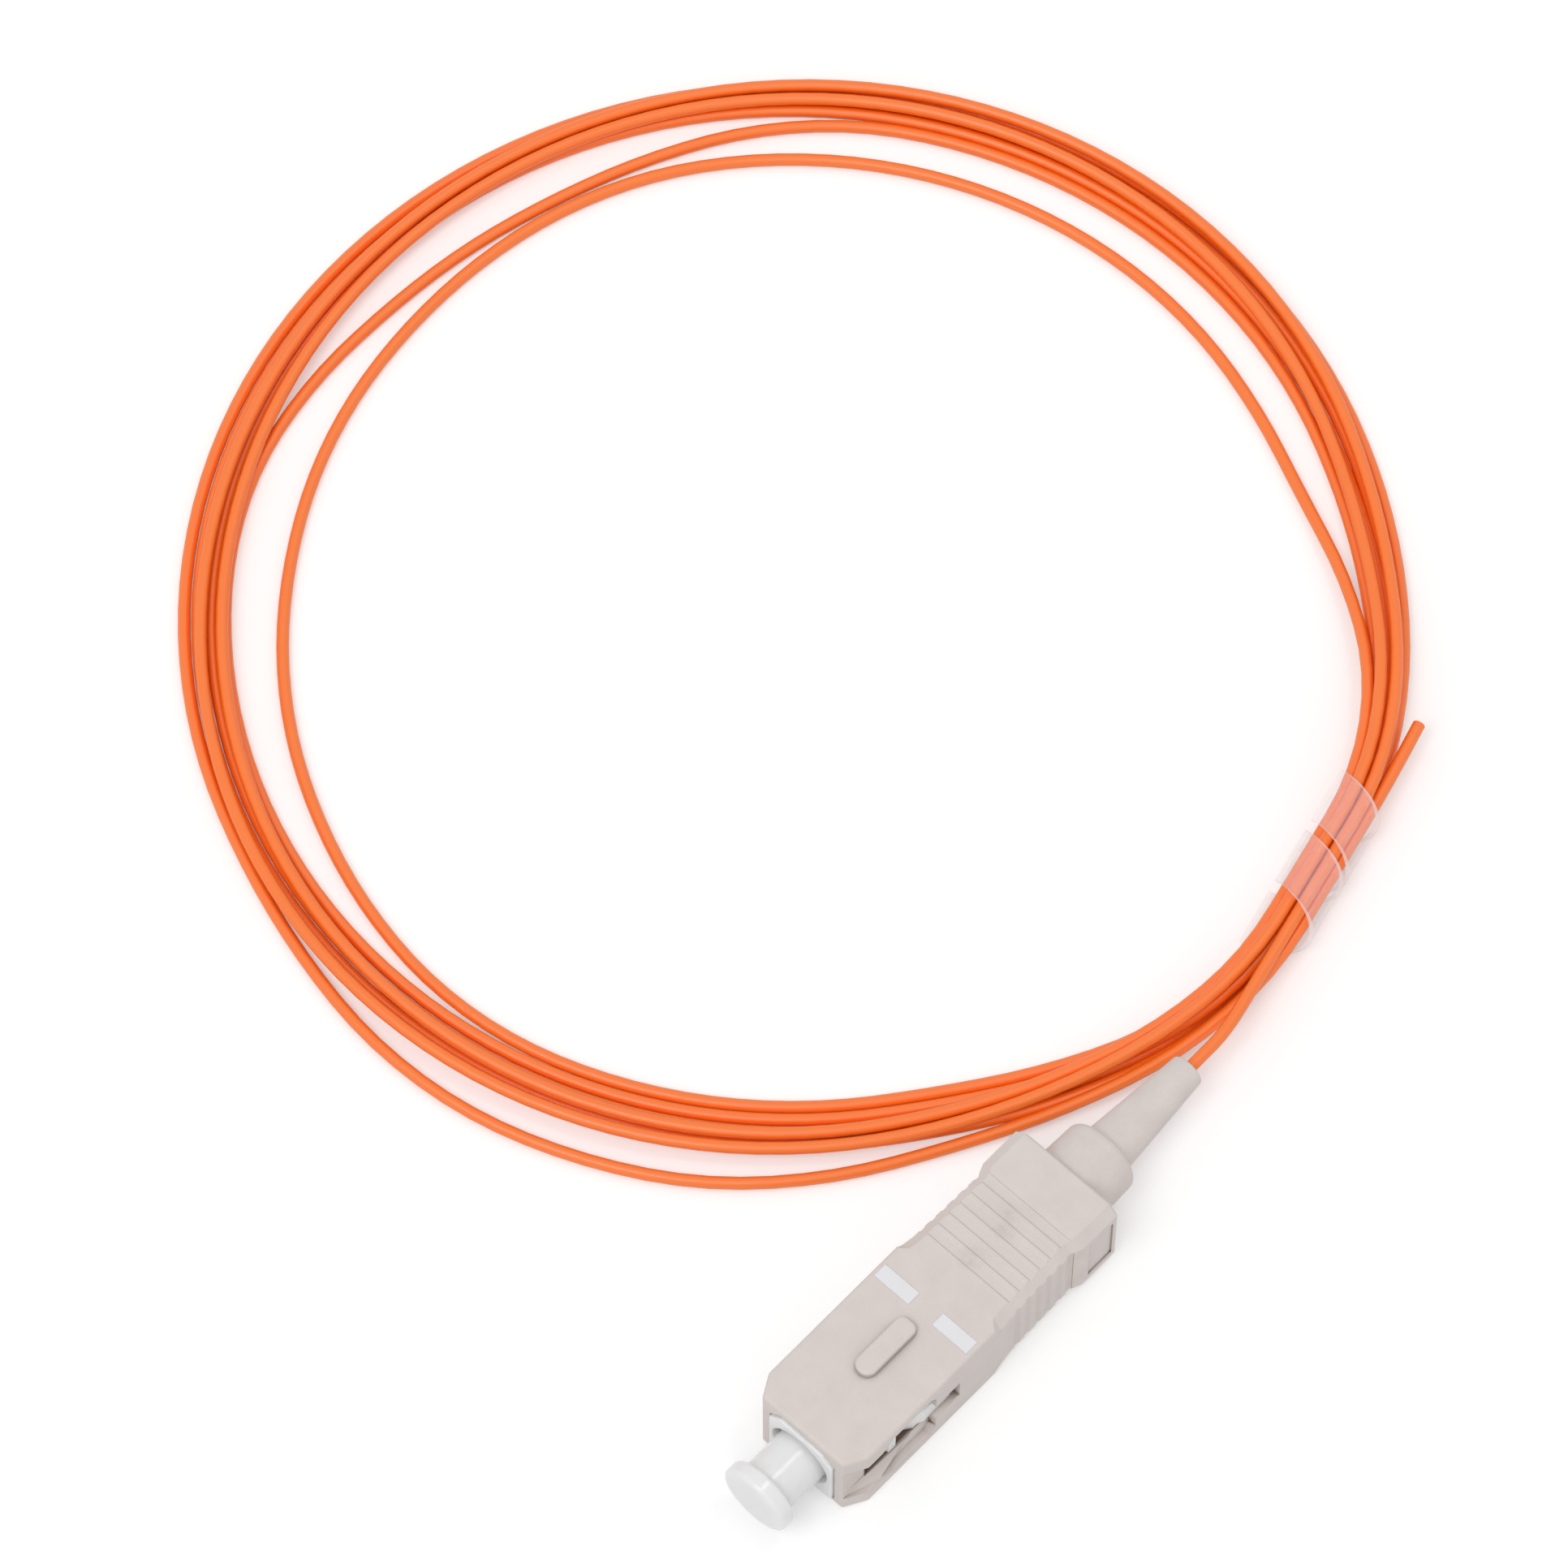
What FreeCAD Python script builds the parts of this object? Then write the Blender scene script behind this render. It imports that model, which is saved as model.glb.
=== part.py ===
import FreeCAD, Part
import math
import os
import re

import Sketcher

# A simplex push-pull fibre connector on a coiled 0.9 mm buffered fibre.
# Every rigid piece is drawn about the optical axis, which is the local X axis:
# x is counted from the front face of the sliding housing towards the cable,
# z points to the key side. The finished pieces are then set on the floor, with the
# origin under the middle of the connector.
# Driving sizes, millimetres and degrees. Every name holds an underscore.
SIZES = (
    # sliding outer housing
    ("housing_length", 26.0),
    ("housing_width", 9.0),
    ("housing_height", 7.35),
    ("edge_round", 0.3),
    ("front_chamfer_length", 1.6),
    ("front_chamfer_depth", 0.9),
    ("grip_start", 13.8),
    ("grip_bevel", 0.75),
    ("grip_facet", 0.68),
    ("waist_lead", 1.07),
    ("waist_side", 0.14),
    ("waist_taper", 0.15),
    ("waist_top", 0.07),
    ("rib_inset", 0.54),
    ("rib_last", 0.42),
    ("rib_count", 6),
    ("rib_depth", 0.1),
    ("rib_wall", 0.05),
    ("rib_floor_top", 0.6),
    ("rib_floor_side", 0.34),
    ("rib_ramp", 0.17),
    ("flare_length", 0.85),
    ("rear_block_length", 3.4),
    ("rear_block_width", 9.1),
    ("rear_edge", 0.15),
    ("opening_width", 5.8),
    ("opening_height", 6.25),
    ("opening_chamfer", 1.0),
    ("opening_depth", 20.0),
    ("collar_clearance", 0.2),
    ("channel_height", 4.15),
    ("channel_depth", 0.87),
    ("trough_start", 2.95),
    ("trough_slant", 1.1),
    ("trough_height", 5.6),
    ("trough_depth", 0.55),
    ("trough_corner", 0.5),
    ("trough_taper", 20.0),
    ("window_start", 2.2),
    ("window_length", 5.95),
    ("window_height", 2.9),
    ("slot_length", 2.33),
    ("slot_height", 1.95),
    ("cam_start", 0.35),
    ("cam_recess", 0.08),
    ("cam_ledge", 0.73),
    ("cam_slant", 3.65),
    ("cam_drop", 0.5),
    ("key_start", 5.5),
    ("key_length", 5.0),
    ("key_width", 1.6),
    ("key_height", 0.65),
    ("key_nose_round", 0.75),
    ("key_tail_round", 0.55),
    ("key_edge_round", 0.2),
    ("plate_length", 2.3),
    ("plate_height", 4.6),
    ("plate_inset", 0.5),
    ("plate_depth", 0.12),
    # printed marks on the key side
    ("mark_start", 11.4),
    ("mark_length", 1.15),
    ("mark_gap", 2.1),
    ("mark_width", 3.1),
    ("mark_thickness", 0.03),
    # inner plug frame
    ("frame_lead", 0.25),
    ("frame_side_gap", 0.09),
    ("frame_height_gap", 0.12),
    ("frame_corner_round", 0.3),
    ("frame_front_round", 0.15),
    ("frame_end", 19.4),
    ("frame_bore", 4.9),
    ("frame_bore_end", 6.6),
    ("frame_wall_end", 7.8),
    ("ferrule_float", 0.185),
    ("frame_cavity", 4.7),
    ("latch_sink", 0.74),
    ("latch_side_gap", 0.1),
    ("latch_room", 1.8),
    ("latch_tab_ramp", 0.35),
    ("latch_tab_length", 1.03),
    ("latch_block_length", 2.3),
    ("latch_block_ramp", 1.3),
    ("latch_end_gap", 0.4),
    ("rail_sink", 0.42),
    ("rail_ramp", 0.7),
    ("rail_end_gap", 0.55),
    # ferrule group
    ("ferrule_diameter", 2.5),
    ("ferrule_lead", 0.9),
    ("ferrule_length", 10.5),
    ("ferrule_chamfer", 0.25),
    ("fibre_diameter", 0.125),
    ("fibre_clearance", 0.005),
    ("flange_seat_gap", 0.02),
    ("flange_clearance", 0.2),
    ("flange_length", 1.4),
    ("barrel_diameter", 3.0),
    ("barrel_length", 2.0),
    ("flange_tail_diameter", 1.8),
    ("flange_tail_length", 2.2),
    ("flange_bore", 1.1),
    ("ferrule_grip", 0.01),
    ("fibre_stub", 0.5),
    ("spring_wire", 0.4),
    ("spring_clearance", 0.17),
    ("spring_turns", 5),
    ("spring_seat_gap", 0.02),
    # rear ring and boot
    ("ring_start", 14.6),
    ("ring_fit", 0.02),
    ("ring_flange_diameter", 5.4),
    ("ring_flange_length", 0.85),
    ("ring_tail_diameter", 3.36),
    ("ring_tail_length", 5.4),
    ("ring_bore", 2.4),
    ("boot_fit", 0.02),
    ("boot_seat_gap", 0.05),
    ("boot_end_gap", 0.4),
    ("boot_front_length", 1.8),
    ("collar_diameter", 5.9),
    ("collar_rear_diameter", 5.66),
    ("collar_exposed", 3.9),
    ("collar_round", 0.65),
    ("neck_diameter", 3.84),
    ("neck_round", 0.35),
    ("boot_tip_diameter", 2.5),
    ("cone_length", 8.3),
    ("boot_tip_round", 0.18),
    ("cable_clearance", 0.05),
    # dust cap
    ("cap_reach", 4.75),
    ("cap_flange_diameter", 5.4),
    ("cap_flange_length", 1.25),
    ("cap_flange_round", 0.3),
    ("cap_tube_diameter", 4.1),
    ("cap_tube_end", 5.6),
    ("cap_tube_round", 0.2),
    ("cap_bore_clearance", 0.02),
    ("cap_tip_room", 1.7),
    # buffered fibre, its coil and the spiral wrap
    ("cable_diameter", 0.9),
    ("cable_start", 15.0),
    ("coil_ahead", 8.0),
    ("coil_aside", 44.6),
    ("coil_outer_radius", 43.5),
    ("coil_tied_width", 2.7),
    ("coil_far_width", 8.6),
    ("coil_height", 2.2),
    ("coil_round", 0.9),
    ("wrap_angle", 13.7),
    ("bundle_diameter", 2.9),
    ("bundle_sag", 0.38),
    ("bundle_lap", 0.3),
    ("wrap_slack", 0.35),
    ("wrap_thickness", 0.35),
    ("wrap_pitch", 5.3),
    ("wrap_turns", 2),
    ("wrap_band", 4.4),
    ("wrap_margin", 0.5),
    ("end_strand_aside", 0.35),
    ("end_strand_above", 0.62),
    ("lead_straight", 1.2),
    ("lead_bend", 3.9),
    ("lead_aside", 0.1),
    ("lead_drop", 0.25),
    ("lead_landing", 2.6),
    ("tail_length", 5.0),
)

doc = FreeCAD.newDocument("fibre_pigtail")
sheet = doc.addObject("Spreadsheet::Sheet", "Sizes")
for row, (size_name, size_value) in enumerate(SIZES, start=1):
    sheet.set("A%d" % row, size_name)
    sheet.set("B%d" % row, str(size_value))
    sheet.setAlias("B%d" % row, size_name)
doc.recompute()

FLOOR_RISE = "housing_height / 2"
BOOT_END = "housing_length + collar_exposed + cone_length"
CENTRING = "(cap_reach - (%s)) / 2" % BOOT_END
WAIST_START = "(grip_start + grip_facet + waist_lead)"
WAIST_END = "(housing_length - rear_block_length - flare_length)"
RIB_START = "(%s + rib_inset)" % WAIST_START
WINDOW_END = "(window_start + window_length)"
SLOT_END = "(window_start + window_length + slot_length)"


def formula(text):
    """Point every size name in a text at its cell of the sheet."""
    return re.sub(r"\b[a-z]+(?:_[a-z]+)+\b", lambda found: "Sizes." + found.group(0), text)


def amount(text):
    """The present number behind a formula."""
    return float(sheet.evalExpression(formula(text)))


def origin_plane(body, role):
    return next(item for item in body.Origin.OriginFeatures if item.Role == role)


def new_body(name):
    """A body drawn on the optical axis and set down with the other pieces."""
    body = doc.addObject("PartDesign::Body", name)
    body.setExpression("Placement.Base.x", formula(CENTRING))
    body.setExpression("Placement.Base.z", formula(FLOOR_RISE))
    return body


def new_sketch(body, name, role, offset=None):
    """A sketch on one of the body's origin planes, moved along its normal by offset."""
    sketch = body.newObject("Sketcher::SketchObject", name)
    sketch.AttachmentSupport = [(origin_plane(body, role), "")]
    sketch.MapMode = "FlatFace"
    if offset:
        sketch.setExpression("AttachmentOffset.Base.z", formula(offset))
    return sketch


def draw_polygon(sketch, corners):
    """Closed outline whose corners are pairs of formulas."""
    first = sketch.GeometryCount
    places = [FreeCAD.Vector(amount(across), amount(up), 0) for across, up in corners]
    count = len(places)
    for index in range(count):
        edge = Part.LineSegment(places[index], places[(index + 1) % count])
        sketch.addGeometry(edge, False)
    for index in range(count):
        following = first + (index + 1) % count
        sketch.addConstraint(Sketcher.Constraint("Coincident", first + index, 2, following, 1))
    for index, (across, up) in enumerate(corners):
        for kind, text, value in (("DistanceX", across, places[index].x),
                                  ("DistanceY", up, places[index].y)):
            number = sketch.addConstraint(
                Sketcher.Constraint(kind, -1, 1, first + index, 1, value))
            sketch.setExpression("Constraints[%d]" % number, formula(text))


def draw_circle(sketch, diameter):
    """Circle about the sketch's own origin."""
    number = sketch.addGeometry(
        Part.Circle(FreeCAD.Vector(0, 0, 0), FreeCAD.Vector(0, 0, 1), amount(diameter) / 2), False)
    sketch.addConstraint(Sketcher.Constraint("Coincident", number, 3, -1, 1))
    held = sketch.addConstraint(Sketcher.Constraint("Diameter", number, amount(diameter)))
    sketch.setExpression("Constraints[%d]" % held, formula(diameter))


def pad(body, name, sketch, length, both_ways=False, reverse=False):
    feature = body.newObject("PartDesign::Pad", name)
    feature.Profile = sketch
    feature.Midplane = both_ways
    feature.Reversed = reverse
    feature.setExpression("Length", formula(length))
    doc.recompute()
    return feature


def pocket(body, name, sketch, length=None, reverse=False):
    """Cut by a length on one side, or right through both ways; it has to remove material."""
    before = body.Shape.Volume
    feature = body.newObject("PartDesign::Pocket", name)
    feature.Profile = sketch
    feature.Reversed = reverse
    if length is None:
        feature.Type = "ThroughAll"
        feature.Midplane = True
    else:
        feature.setExpression("Length", formula(length))
    doc.recompute()
    if not body.Shape.Volume < before:
        raise RuntimeError("%s cuts nothing" % name)
    return feature


def mirror_sides(body, name, features):
    """Repeat features of the near side on the far side of the body."""
    feature = body.newObject("PartDesign::Mirrored", name)
    feature.Originals = features
    feature.MirrorPlane = (origin_plane(body, "XZ_Plane"), [""])
    body.Tip = feature
    doc.recompute()
    return feature


def round_edges(body, name, radius, chosen):
    """Fillet the edges of the body's present shape that the test picks."""
    base = body.Tip
    names = ["Edge%d" % number for number, edge in enumerate(base.Shape.Edges, start=1)
             if chosen(edge)]
    feature = body.newObject("PartDesign::Fillet", name)
    feature.Base = (base, names)
    feature.setExpression("Radius", formula(radius))
    doc.recompute()
    return feature


def along(edge, direction):
    """True for a straight edge that runs along a direction."""
    if edge.Degenerated or not isinstance(edge.Curve, Part.Line):
        return False
    return abs(abs(edge.Curve.Direction.dot(direction)) - 1) < 1e-6


def ring_at(edge, station, diameter):
    """True for the circle of a turned piece at a station and a diameter."""
    if not isinstance(edge.Curve, Part.Circle):
        return False
    placed = abs(edge.Curve.Center.x - amount(station)) < 1e-4
    return placed and abs(2 * edge.Curve.Radius - amount(diameter)) < 1e-4


def turned(name, corners):
    """A piece turned about the optical axis from its half section (station, radius)."""
    body = new_body(name)
    sketch = new_sketch(body, name + "_section", "XY_Plane")
    draw_polygon(sketch, corners)
    feature = body.newObject("PartDesign::Revolution", name + "_turned")
    feature.Profile = sketch
    feature.ReferenceAxis = (sketch, ["H_Axis"])
    feature.Angle = 360
    doc.recompute()
    return body


X_AXIS = FreeCAD.Vector(1, 0, 0)
Z_AXIS = FreeCAD.Vector(0, 0, 1)


def octagon(half_width, half_height, bevel):
    """Corners of a rectangle with bevelled corners, as formulas."""
    corners = []
    for side, level in ((1, 1), (-1, 1), (-1, -1), (1, -1)):
        flat = ("%d * (%s - %s)" % (side, half_width, bevel), "%d * (%s)" % (level, half_height))
        steep = ("%d * (%s)" % (side, half_width), "%d * (%s - %s)" % (level, half_height, bevel))
        corners += [steep, flat] if side == level else [flat, steep]
    return corners


def housing_front(body):
    """Front block with plan chamfers, softened edges and the run-in of the bevels."""
    section = new_sketch(body, "front_section", "YZ_Plane")
    draw_polygon(section, [
        ("-housing_width / 2", "-housing_height / 2"),
        ("housing_width / 2", "-housing_height / 2"),
        ("housing_width / 2", "housing_height / 2"),
        ("-housing_width / 2", "housing_height / 2"),
    ])
    pad(body, "front_block", section, "grip_start + grip_facet")
    plan = new_sketch(body, "front_plan", "XY_Plane")
    for side in (1, -1):
        draw_polygon(plan, [
            ("-1 * front_chamfer_length", "%d * (housing_width / 2 + front_chamfer_depth)" % side),
            ("-1 * front_chamfer_length", "%d * (housing_width / 2 - 2 * front_chamfer_depth)" % side),
            ("front_chamfer_length", "%d * housing_width / 2" % side),
            ("front_chamfer_length", "%d * (housing_width / 2 + front_chamfer_depth)" % side),
        ])
    pocket(body, "front_chamfers", plan)
    back = amount("grip_start + grip_facet")
    round_edges(body, "front_edges", "edge_round", lambda edge: edge.BoundBox.XMin < back - 1e-4)
    reach = "(housing_width + housing_height) / 2 / sqrt(2)"
    for name, turn in (("rising", 45), ("falling", -45)):
        slope = new_sketch(body, "facet_" + name, "XZ_Plane")
        slope.AttachmentOffset = FreeCAD.Placement(
            FreeCAD.Vector(0, 0, 0), FreeCAD.Rotation(X_AXIS, turn))
        for side in (1, -1):
            draw_polygon(slope, [
                ("grip_start", "%d * %s" % (side, reach)),
                ("grip_start + grip_facet", "%d * (%s - grip_bevel / sqrt(2))" % (side, reach)),
                ("grip_start + 2 * grip_facet", "%d * (%s - grip_bevel / sqrt(2))" % (side, reach)),
                ("grip_start + 2 * grip_facet", "%d * %s" % (side, reach)),
            ])
        pocket(body, "bevel_start_" + name, slope)


def housing_grip(body):
    """Bevelled, waisted grip with its flared rear block, through its cross-sections."""
    full_side = "housing_width / 2"
    full_top = "housing_height / 2"
    waist_top = "(housing_height / 2 - waist_top)"
    rear = ("rear_block_width / 2", full_top)
    rear_start = "housing_length - rear_block_length"
    stations = [
        ("grip_start + grip_facet", full_side, full_top),
        (WAIST_START, "(housing_width / 2 - waist_side)", waist_top),
        (WAIST_END, "(housing_width / 2 - waist_side - waist_taper)", waist_top),
        (rear_start,) + rear,
        ("housing_length - rear_edge",) + rear,
        ("housing_length", "(rear_block_width / 2 - rear_edge)", "(housing_height / 2 - rear_edge)"),
    ]
    sections = []
    for number, (station, half_width, half_height) in enumerate(stations):
        section = new_sketch(body, "grip_section_%d" % number, "YZ_Plane", station)
        draw_polygon(section, octagon(half_width, half_height, "grip_bevel"))
        sections.append(section)
    doc.recompute()
    loft = body.newObject("PartDesign::AdditiveLoft", "grip")
    loft.Profile = sections[0]
    loft.Sections = sections[1:]
    loft.Ruled = True
    doc.recompute()


def rib_groove(start, surface, floor_length):
    """Section of one finger groove: a steep wall, a flat floor and a ramp out to the rear."""
    floor = surface + " - rib_depth"
    outside = surface + " + housing_width / 2"
    foot = start + " + rib_wall"
    rise = "%s + %s" % (foot, floor_length)
    end = rise + " + rib_ramp"
    return [(start, outside), (start, surface), (foot, floor), (rise, floor), (end, surface), (end, outside)]


def housing_ribs(body):
    """Finger grooves across the top, bottom and sides of the waist, evenly spaced."""
    pitch = "(%s - %s - rib_last) / (rib_count - 1)" % (WAIST_END, RIB_START)
    top = "housing_height / 2 - waist_top"
    side = "housing_width / 2 - waist_side - waist_taper * (2 * %d + 1) / (2 * rib_count)"
    numbers = range(int(amount("rib_count")))
    for name, role, surfaces in (("top", "XZ_Plane", [top for number in numbers]),
                                 ("side", "XY_Plane", [side % number for number in numbers])):
        sketch = new_sketch(body, "rib_%s_sections" % name, role)
        for number in numbers:
            start = "%s + %d * %s" % (RIB_START, number, pitch)
            outline = rib_groove(start, surfaces[number], "rib_floor_" + name)
            draw_polygon(sketch, outline)
            draw_polygon(sketch, [(station, "-1 * (%s)" % level) for station, level in outline])
        pocket(body, "ribs_%s" % name, sketch)


def keyed_outline(half_width, half_height, chamfer):
    """Rectangle with two chamfered corners on the key side."""
    return [
        ("-1 * (%s)" % half_width, "-1 * (%s)" % half_height),
        (half_width, "-1 * (%s)" % half_height),
        (half_width, "%s - %s" % (half_height, chamfer)),
        ("%s - %s" % (half_width, chamfer), half_height),
        ("-1 * (%s - %s)" % (half_width, chamfer), half_height),
        ("-1 * (%s)" % half_width, "%s - %s" % (half_height, chamfer)),
    ]


def rectangle(start, end, low, high):
    return [(start, low), (end, low), (end, high), (start, high)]


def housing_hollow(body):
    """Keyed opening for the plug frame and the round bore that clears the boot."""
    opening = new_sketch(body, "opening_section", "YZ_Plane")
    draw_polygon(opening, keyed_outline("opening_width / 2", "opening_height / 2", "opening_chamfer"))
    pocket(body, "opening", opening, "opening_depth", reverse=True)
    bore = new_sketch(body, "rear_bore_section", "YZ_Plane", "housing_length")
    draw_circle(bore, "collar_diameter + 2 * collar_clearance")
    pocket(body, "rear_hole", bore, "housing_length - opening_depth")


def housing_windows(body):
    """Side channels that widen into troughs, latch windows and the release cams on their ledges."""
    trough = new_sketch(body, "trough_outline", "XZ_Plane", "housing_width / 2")
    draw_polygon(trough, [
        ("trough_start", "-1 * channel_height / 2"),
        ("trough_start + trough_slant", "-1 * trough_height / 2"),
        (WINDOW_END + " - trough_corner", "-1 * trough_height / 2"),
        (WINDOW_END, "-1 * trough_height / 2 + trough_corner"),
        (WINDOW_END, "trough_height / 2 - trough_corner"),
        (WINDOW_END + " - trough_corner", "trough_height / 2"),
        ("trough_start + trough_slant", "trough_height / 2"),
        ("trough_start", "channel_height / 2"),
    ])
    near_trough = pocket(body, "trough", trough, "trough_depth")
    near_trough.setExpression("TaperAngle", formula("-1 * trough_taper"))
    channel = new_sketch(body, "channel_outline", "XZ_Plane", "housing_width / 2")
    draw_polygon(channel, rectangle("-1 * cam_start", WINDOW_END,
                                    "-1 * channel_height / 2", "channel_height / 2"))
    near_channel = pocket(body, "channel", channel, "channel_depth")
    mirror_sides(body, "channels", [near_trough, near_channel])
    window = new_sketch(body, "window_outline", "XZ_Plane")
    draw_polygon(window, rectangle("window_start", WINDOW_END,
                                   "-1 * window_height / 2", "window_height / 2"))
    pocket(body, "windows", window)
    slot = new_sketch(body, "slot_outline", "XZ_Plane")
    draw_polygon(slot, rectangle(WINDOW_END + " - cam_start", SLOT_END,
                                 "-1 * slot_height / 2", "slot_height / 2"))
    pocket(body, "slots", slot)
    cams = []
    for name, side in (("lower", -1), ("upper", 1)):
        levels = []
        for edge, level, peak, crest, dip in (
                ("outer", "channel_height / 2", "trough_start", "cam_recess", "trough_depth"),
                ("inner", "window_height / 2", "trough_start + cam_slant", "cam_ledge", "cam_ledge")):
            sketch = new_sketch(body, "cam_%s_%s" % (name, edge), "XY_Plane", "%d * %s" % (side, level))
            draw_polygon(sketch, [
                ("cam_start", sunk("channel_depth + cam_start / 2")),
                (WINDOW_END, sunk("channel_depth + cam_start / 2")),
                (WINDOW_END, sunk(dip)),
                (peak + " + cam_drop", sunk(dip)),
                (peak, sunk(crest)),
                ("cam_start", sunk("channel_depth")),
            ])
            levels.append(sketch)
        doc.recompute()
        cam = body.newObject("PartDesign::AdditiveLoft", "cam_" + name)
        cam.Profile = levels[0]
        cam.Sections = levels[1:]
        cam.Ruled = True
        doc.recompute()
        cams.append(cam)
    mirror_sides(body, "cams", cams)


def sunk(depth):
    """Level on the near side, counted inward from the housing's flank."""
    return "-1 * (housing_width / 2 - (%s))" % depth


def housing_key(body):
    """Polarity key with a rounded nose and softened upper edges."""
    outline = new_sketch(body, "key_outline", "XY_Plane", "housing_height / 2 - key_edge_round")
    draw_polygon(outline, rectangle("key_start", "key_start + key_length",
                                    "-1 * key_width / 2", "key_width / 2"))
    pad(body, "key", outline, "key_height + key_edge_round")
    top = amount("housing_height / 2")

    def upright_at(edge, station):
        middle = edge.CenterOfMass
        on_key = middle.z > top and abs(middle.x - amount(station)) < 1e-4
        return along(edge, Z_AXIS) and on_key

    round_edges(body, "key_nose", "key_nose_round", lambda edge: upright_at(edge, "key_start"))
    round_edges(body, "key_tail", "key_tail_round",
                lambda edge: upright_at(edge, "key_start + key_length"))
    crown = amount("housing_height / 2 + key_height")
    round_edges(body, "key_edges", "key_edge_round",
                lambda edge: edge.BoundBox.ZMin > crown - 1e-4)


def outer_housing():
    body = new_body("outer_housing")
    housing_front(body)
    housing_grip(body)
    housing_ribs(body)
    housing_hollow(body)
    housing_windows(body)
    housing_key(body)
    plate = new_sketch(body, "plate_outline", "XZ_Plane", "rear_block_width / 2")
    draw_polygon(plate, rectangle("housing_length - plate_inset - plate_length",
                                  "housing_length - plate_inset",
                                  "-1 * plate_height / 2", "plate_height / 2"))
    pocket(body, "bare_plate", plate, "plate_depth")
    return body


def insertion_marks():
    """Two printed bars across the key side, either side of the key line."""
    bars = []
    for name, side in (("near", -1), ("far", 1)):
        bar = doc.addObject("Part::Box", "mark_" + name)
        bar.setExpression("Length", formula("mark_length"))
        bar.setExpression("Width", formula("mark_width"))
        bar.setExpression("Height", formula("mark_thickness"))
        bar.setExpression("Placement.Base.x", formula("mark_start + " + CENTRING))
        middle = "%d * (mark_gap + mark_width) / 2 - mark_width / 2" % side
        bar.setExpression("Placement.Base.y", formula(middle))
        bar.setExpression("Placement.Base.z", formula("housing_height"))
        bars.append(bar)
    marks = doc.addObject("Part::Compound", "insertion_marks")
    marks.Links = bars
    return marks


def plug_frame():
    """Keyed inner frame with a sleeve bore, a ferrule wall, a rear cavity and side latches."""
    body = new_body("plug_frame")
    half_width = "(opening_width / 2 - frame_side_gap)"
    half_height = "(opening_height / 2 - frame_height_gap)"
    section = new_sketch(body, "frame_section", "YZ_Plane", "-1 * frame_lead")
    draw_polygon(section, keyed_outline(half_width, half_height, "opening_chamfer"))
    pad(body, "frame_block", section, "frame_lead + frame_end")
    foot = -amount(half_height)
    round_edges(body, "frame_corners", "frame_corner_round",
                lambda edge: along(edge, X_AXIS) and abs(edge.CenterOfMass.z - foot) < 1e-4)
    front = -amount("frame_lead")
    round_edges(body, "frame_front", "frame_front_round",
                lambda edge: edge.BoundBox.XMax < front + 1e-4)
    sleeve = new_sketch(body, "sleeve_bore_section", "YZ_Plane", "-1 * frame_lead")
    draw_circle(sleeve, "frame_bore")
    pocket(body, "sleeve_bore", sleeve, "frame_lead + frame_bore_end", reverse=True)
    hole = new_sketch(body, "ferrule_hole_section", "YZ_Plane", "frame_bore_end")
    draw_circle(hole, "ferrule_diameter + 2 * ferrule_float")
    pocket(body, "ferrule_passage", hole, "frame_wall_end - frame_bore_end", reverse=True)
    cavity = new_sketch(body, "cavity_section", "YZ_Plane", "frame_end")
    draw_circle(cavity, "frame_cavity")
    pocket(body, "cavity", cavity, "frame_end - frame_wall_end")
    root = "-1 * (%s - frame_side_gap)" % half_width
    foot_of_ramp = "-1 * %s - frame_side_gap" % half_width
    tab_start = "window_start + latch_room"
    block_end = WINDOW_END + " - latch_end_gap"
    block_start = block_end + " - latch_block_length"
    ramps = new_sketch(body, "latch_plan", "XY_Plane")
    for start, ramp, end in ((tab_start, "latch_tab_ramp", tab_start + " + latch_tab_length"),
                             (block_start, "latch_block_ramp", block_end)):
        draw_polygon(ramps, [(start, root), (end, root), (end, sunk("latch_sink")),
                             (start + " + " + ramp, sunk("latch_sink")), (start, foot_of_ramp)])
    latches = pad(body, "latches", ramps, "window_height - 2 * latch_side_gap", both_ways=True)
    rail = new_sketch(body, "rail_plan", "XY_Plane")
    rail_start = block_start + " + latch_block_ramp"
    rail_end = SLOT_END + " - rail_end_gap"
    draw_polygon(rail, [(rail_start, root), (rail_end, root), (rail_end, sunk("rail_sink")),
                        (rail_start + " + rail_ramp", sunk("rail_sink")),
                        (rail_start, sunk("latch_sink"))])
    rails = pad(body, "latch_rail", rail, "slot_height - 2 * latch_side_gap", both_ways=True)
    mirror_sides(body, "latch_pairs", [latches, rails])
    return body


FLANGE_START = "frame_wall_end + flange_seat_gap"
FLANGE_BACK = "frame_wall_end + flange_seat_gap + flange_length"
BARREL_END = FLANGE_BACK + " + barrel_length"
FLANGE_END = BARREL_END + " + flange_tail_length"
FERRULE_END = "ferrule_length - ferrule_lead"


def ferrule():
    bore = "fibre_diameter / 2 + fibre_clearance"
    return turned("ferrule", [
        ("-1 * ferrule_lead", bore),
        ("-1 * ferrule_lead", "ferrule_diameter / 2 - ferrule_chamfer"),
        ("-1 * ferrule_lead + ferrule_chamfer", "ferrule_diameter / 2"),
        (FERRULE_END, "ferrule_diameter / 2"),
        (FERRULE_END, bore),
    ])


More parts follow.
